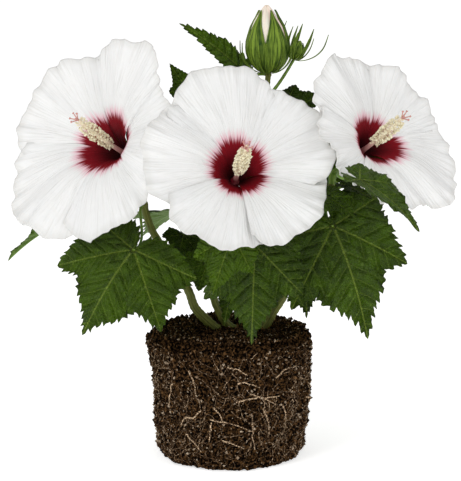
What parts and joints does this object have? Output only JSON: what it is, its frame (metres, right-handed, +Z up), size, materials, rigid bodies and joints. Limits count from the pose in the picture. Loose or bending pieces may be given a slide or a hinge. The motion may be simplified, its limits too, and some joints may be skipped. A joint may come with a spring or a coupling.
{
  "type": "hibiscus plant on its root ball",
  "caption": "Leafy garden hibiscus with wide white crimson-eyed blooms and fat green buds, standing on its bare tapered root ball.",
  "frame": {"origin": "middle of the flat underside of the root ball", "axes": "+Z up; the plant's front, with its wide blooms, faces -Y; +X is to the right seen from the front"},
  "size_m": [0.4247, 0.2738, 0.424],
  "materials": {
    "root_ball": "rough, fibrous",
    "stem": "satin, ribbed",
    "stalk": "satin",
    "calyx": "satin",
    "petal": "soft, veined",
    "pistil": "matte, powdery",
    "bud": "satin, ribbed",
    "leaf": "satin, veined"
  },
  "bodies": {
    "root": {"bud": "bud", "centre_bloom_calyx": "calyx", "centre_bloom_petal_1": "petal", "centre_bloom_petal_2": "petal", "centre_bloom_petal_3": "petal", "centre_bloom_petal_4": "petal", "centre_bloom_petal_5": "petal", "centre_bloom_pistil": "pistil", "leaf_between_blooms": "leaf", "leaf_centre_dark": "leaf", "leaf_centre_pale": "leaf", "leaf_centre_right": "leaf", "leaf_far_left": "leaf", "leaf_front": "leaf", "leaf_left_front": "leaf", "leaf_left_inner": "leaf", "leaf_left_rear": "leaf", "leaf_rear_1": "leaf", "leaf_rear_2": "leaf", "leaf_rear_3": "leaf", "leaf_rear_4": "leaf", "leaf_rear_5": "leaf", "leaf_rear_6": "leaf", "leaf_rear_7": "leaf", "leaf_rear_8": "leaf", "leaf_rear_9": "leaf", "leaf_right_front": "leaf", "leaf_right_inner": "leaf", "leaf_right_narrow": "leaf", "leaf_right_outer": "leaf", "leaf_right_rear": "leaf", "leaf_right_young": "leaf", "leaf_top": "leaf", "leaf_top_left": "leaf", "leaf_top_right": "leaf", "left_bloom_calyx": "calyx", "left_bloom_petal_1": "petal", "left_bloom_petal_2": "petal", "left_bloom_petal_3": "petal", "left_bloom_petal_4": "petal", "left_bloom_petal_5": "petal", "left_bloom_pistil": "pistil", "right_bloom_calyx": "calyx", "right_bloom_petal_1": "petal", "right_bloom_petal_2": "petal", "right_bloom_petal_3": "petal", "right_bloom_petal_4": "petal", "right_bloom_petal_5": "petal", "right_bloom_pistil": "pistil", "root_ball": "root_ball", "small_bud": "bud", "stalk_centre": "stalk", "stalk_left": "stalk", "stalk_right": "stalk", "stalk_small_bud": "stalk", "stem_bud": "stem", "stem_centre": "stem", "stem_left": "stem", "stem_right": "stem"}
  },
  "joints": []
}
